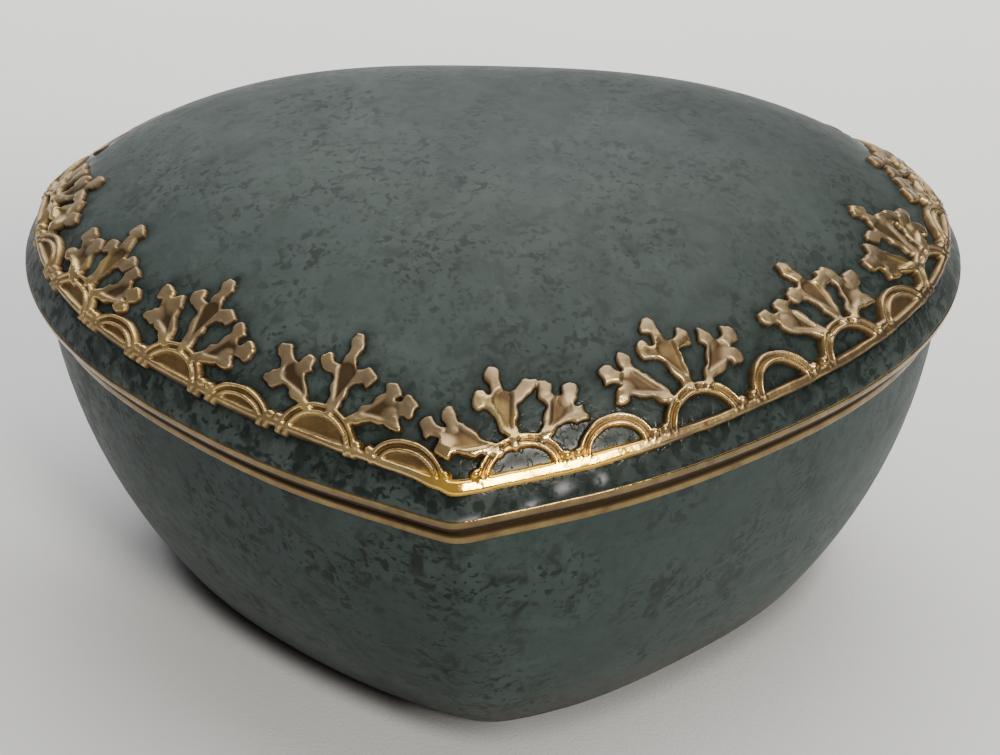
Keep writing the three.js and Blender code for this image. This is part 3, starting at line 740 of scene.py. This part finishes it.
        # a near-black band at the foot: painted contact shade, and the foot's bare dark clay
        bare_foot_shade = m.ramp(height, [(0.021, 1.0), (0.027, 0.0)])
        colour = m.mix(m.math("MULTIPLY", bare_foot_shade, 0.97), colour, (0.004, 0.003, 0.0025))
    m.link(colour, m.bsdf.inputs["Base Color"])
    rough = m.ramp(m.noise(260, 3, 0.6), [(0.3, 0.44), (0.7, 0.54)])
    rough = m.mix(m.math("MULTIPLY", marks, 0.5), rough, (0.56, 0.56, 0.56))
    if pooled_shade:                                    # glossier where the glaze has run together beside the relief
        rough = m.mix(m.attribute("pooled_shade"), rough, (0.16, 0.16, 0.16))
    m.link(rough, m.bsdf.inputs["Roughness"])
    m.bsdf.inputs["IOR"].default_value = 1.5
    m.bsdf.inputs["Specular IOR Level"].default_value = gloss
    n = m.bump(m.noise(420, 3, 0.5), 0.13, 0.0005)
    n = m.bump(m.math("SUBTRACT", 1.0, marks), 0.2, 0.0002, n)
    m.link(n, m.bsdf.inputs["Normal"])
    return m.mat


def gilding(name, attribute, stops, hollow_shade, tone_by=1.0, dulls=False):
    """Burnished gold, with painted shade: on the border the attribute is the relief's height, on the gilt lines the
    seam's shade, and stops say how far the gold is darkened there.
    """
    m = Tree(name)
    tone = m.ramp(m.noise(230, 4, 0.6, 0.5), [(p, tuple(tone_by * c for c in rgb)) for p, rgb in
                                                 ((0.3, (0.32, 0.215, 0.10)), (0.55, (0.53, 0.37, 0.16)), (0.8, (0.80, 0.56, 0.20)))])
    grime = m.ramp(m.noise(620, 3, 0.65), [(0.50, 0.0), (0.70, 1.0)])
    tone = m.mix(m.math("MULTIPLY", grime, 0.4), tone, (0.16, 0.085, 0.04))
    # painted shade: the gold darker the lower it lies in the relief, and in the seam
    low = m.ramp(m.attribute(attribute), stops)
    tone = m.mix(low, tone, hollow_shade)
    if dulls:                                   # rubbed heads; here and there one still shines
        dull = m.math("MULTIPLY", m.attribute("dull"), m.ramp(m.noise(190, 2, 0.5), [(0.52, 1.0), (0.62, 0.3)]))
        # painted shade in the hollows of the rubbed heads
        deep = m.ramp(m.attribute(attribute), [(0.0, 1.0), (0.46, 0.95), (0.74, 0.3), (0.95, 0.0)])
        tan = m.ramp(m.noise(310, 3, 0.6), [(0.32, (0.20, 0.145, 0.088)), (0.68, (0.34, 0.255, 0.16))])
        tone = m.mix(m.math("MULTIPLY", dull, 0.82), tone, m.mix(deep, tan, (0.058, 0.036, 0.020)))
        # painted dark reflection on the rail and the right-hand arches
        dark_reflection = m.math("MULTIPLY", m.attribute("dark_reflection"), m.ramp(m.noise(360, 3, 0.6), [(0.34, 0.45), (0.56, 1.0)]))
        tone = m.mix(m.math("MULTIPLY", dark_reflection, 0.85), tone, (0.105, 0.067, 0.038))
        # painted highlight: yellow gold on the rail beside the point
        tone = m.mix(m.math("MULTIPLY", m.attribute("highlight_tint"), 0.85), tone, (0.88, 0.52, 0.075))
    m.link(tone, m.bsdf.inputs["Base Color"])
    m.bsdf.inputs["Metallic"].default_value = 1.0
    rough = m.ramp(m.noise(330, 3, 0.6), [(0.35, 0.12), (0.7, 0.28)])
    rough = m.mix(low, rough, (0.72, 0.72, 0.72))
    if dulls:
        rough = m.mix(m.math("MULTIPLY", m.math("MAXIMUM", dull, dark_reflection), 0.8), rough, (0.50, 0.50, 0.50))
    m.link(rough, m.bsdf.inputs["Roughness"])
    n = m.bump(m.noise(900, 3, 0.6), 0.14, 0.0003)
    n = m.bump(m.noise(300, 3, 0.6), 0.2, 0.0006, n)
    m.link(n, m.bsdf.inputs["Normal"])
    return m.mat


lid_mat = glaze("lid_glaze", (0.007, 0.012, 0.010), (0.045, 0.060, 0.055), (0.062, 0.080, 0.074), 1.0, 0.9, 0.15, 0.9, pooled_shade=True)
base_mat = glaze("base_glaze", (0.002, 0.004, 0.003), (0.018, 0.031, 0.027), (0.030, 0.047, 0.042), 0.98, 0.7, 0.18, 0.9)
gold = gilding("gilding", "relief", [(0.0, 1.0), (0.36, 0.72), (0.62, 0.30), (0.85, 0.0)], (0.070, 0.034, 0.013), dulls=True)
gold_line = gilding("gilding_line", "shade", [(0.0, 0.0), (1.0, 0.96)], (0.030, 0.018, 0.010), 0.46)
for obj, mat in ((lid_obj, lid_mat), (base, base_mat), (gilt, gold), (lid_line, gold_line), (base_line, gold_line)):
    obj.data.materials.clear()
    obj.data.materials.append(mat)
for n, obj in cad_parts.items():        # hidden behind their finished pieces, but not left plain
    mat = lid_mat if n == "lid_shell" else base_mat if n == "base_bowl" else gold_line
    for k in range(len(obj.material_slots)):
        obj.material_slots[k].link = "OBJECT"
        obj.material_slots[k].material = mat

# ---------------------------------------------------------------- floor
fm = Tree("floor_cloth")
tone = fm.ramp(fm.noise(9, 3, 0.5), [(0.3, (0.93, 0.93, 0.93)), (0.7, (0.98, 0.98, 0.98))])
place = fm.node("ShaderNodeSeparateXYZ")
fm.link(fm.coord, place.inputs[0])
# painted light: the cloth lighter towards the back, and a painted shadow darkening it to the left of the box, near its
# middle
far = fm.ramp(fm.math("ADD", fm.math("MULTIPLY", place.outputs[1], 2.2), 0.3), [(0.14, 0.73), (0.28, 0.655), (0.78, 1.0)])
left = fm.ramp(fm.math("ADD", fm.math("MULTIPLY", place.outputs[0], 5.0), 0.6), [(0.0, 0.80), (0.55, 1.0)])
left = fm.mix(fm.ramp(far, [(0.66, 0.0), (0.72, 1.0)]), left, (1.0, 1.0, 1.0))
far = fm.mix(1.0, far, left, "MULTIPLY")
# the cloth is in the dark where the bowl rests on it, more so on the side away from the window
near = fm.node("ShaderNodeAmbientOcclusion", samples=24)
near.inputs["Distance"].default_value = 0.0068
shut = fm.ramp(near.outputs["AO"], [(0.32, 1.0), (0.60, 0.0)])
shut = fm.math("MULTIPLY", shut, fm.ramp(fm.math("ADD", fm.math("MULTIPLY", place.outputs[0], 10.0), 0.5), [(0.40, 1.0), (0.56, 0.35)]))
far = fm.mix(shut, far, (0.03, 0.025, 0.025))
fm.link(fm.mix(1.0, tone, far, "MULTIPLY"), fm.bsdf.inputs["Base Color"])
fm.bsdf.inputs["Roughness"].default_value = 0.95
fm.link(fm.bump(fm.noise(2200, 2, 0.6), 0.25, 0.0003, fm.bump(fm.noise(14, 2, 0.5), 0.3, 0.004)), fm.bsdf.inputs["Normal"])
size = 3.0
fv = [(-size, -size, 0), (size, -size, 0), (size, size, 0), (-size, size, 0)]
mesh = bpy.data.meshes.new("floor")
mesh.from_pydata(fv, [], [(0, 1, 2, 3)])
floor = bpy.data.objects.new("floor", mesh)
bpy.context.scene.collection.objects.link(floor)
mesh.materials.append(fm.mat)


# ---------------------------------------------------------------- light
def area(name, azimuth, elevation, distance, w, h, power, colour=(1, 1, 1)):
    a, e = math.radians(azimuth), math.radians(elevation)
    back = Vector((math.sin(a) * math.cos(e), -math.cos(a) * math.cos(e), math.sin(e)))
    data = bpy.data.lights.new(name, "AREA")
    data.shape, data.size, data.size_y, data.energy, data.color = "RECTANGLE", w, h, power, colour
    obj = bpy.data.objects.new(name, data)
    obj.location = back * distance + Vector((0, 0, 0.04))
    obj.rotation_mode = "QUATERNION"
    obj.rotation_quaternion = back.to_track_quat("Z", "Y")
    bpy.context.scene.collection.objects.link(obj)


area("window", 39, 34, 1.3, 0.28, 0.38, 15, (1.0, 0.96, 0.86))
area("ceiling", 150, 66, 1.9, 2.0, 2.0, 40, (1.0, 0.995, 0.98))
area("back_wall", 188, 34, 1.9, 2.6, 1.0, 18, (1.0, 1.0, 1.0))

world = bpy.data.worlds.new("room")
world.use_nodes = True
world.node_tree.nodes["Background"].inputs[1].default_value = 0.49
wt = world.node_tree
aim = wt.nodes.new("ShaderNodeTexCoord").outputs["Generated"]
axis = wt.nodes.new("ShaderNodeSeparateXYZ")
wt.links.new(aim, axis.inputs[0])
side = wt.nodes.new("ShaderNodeMapRange")           # the room is darker to the right of the box
side.inputs["From Min"].default_value, side.inputs["From Max"].default_value = 0.0, 0.75
side.inputs["To Min"].default_value, side.inputs["To Max"].default_value = 0.86, 0.36
wt.links.new(axis.outputs[0], side.inputs["Value"])
wt.links.new(side.outputs[0], wt.nodes["Background"].inputs[0])
bpy.context.scene.world = world

# ---------------------------------------------------------------- camera
AZ, EL, DIST, FOCAL, ROLL, PAN, TILT = 4.33, 40.5, 264.17, 1800.0, -0.7488, 0.0031, 0.073
a, e = math.radians(AZ), math.radians(EL)
back = Vector((math.sin(a) * math.cos(e), -math.cos(a) * math.cos(e), math.sin(e)))
where = back * DIST * MM + Vector((0, SHIFT_Y * MM, 0))
x = Vector((0, 0, 1)).cross(back).normalized()
y = back.cross(x)
r = math.radians(ROLL)
x, y = math.cos(r) * x + math.sin(r) * y, -math.sin(r) * x + math.cos(r) * y
z = back
x, z = math.cos(PAN) * x + math.sin(PAN) * z, math.cos(PAN) * z - math.sin(PAN) * x
y, z = math.cos(TILT) * y + math.sin(TILT) * z, math.cos(TILT) * z - math.sin(TILT) * y
cam = bpy.data.cameras.new("camera")
cam.sensor_fit, cam.sensor_width, cam.lens = "HORIZONTAL", 36.0, FOCAL / 1000 * 36.0
cam.clip_start, cam.clip_end = 0.01, 20
camera = bpy.data.objects.new("camera", cam)
camera.matrix_world = Matrix.Translation(where) @ Matrix((x, y, z)).transposed().to_4x4()
bpy.context.scene.collection.objects.link(camera)
bpy.context.scene.camera = camera
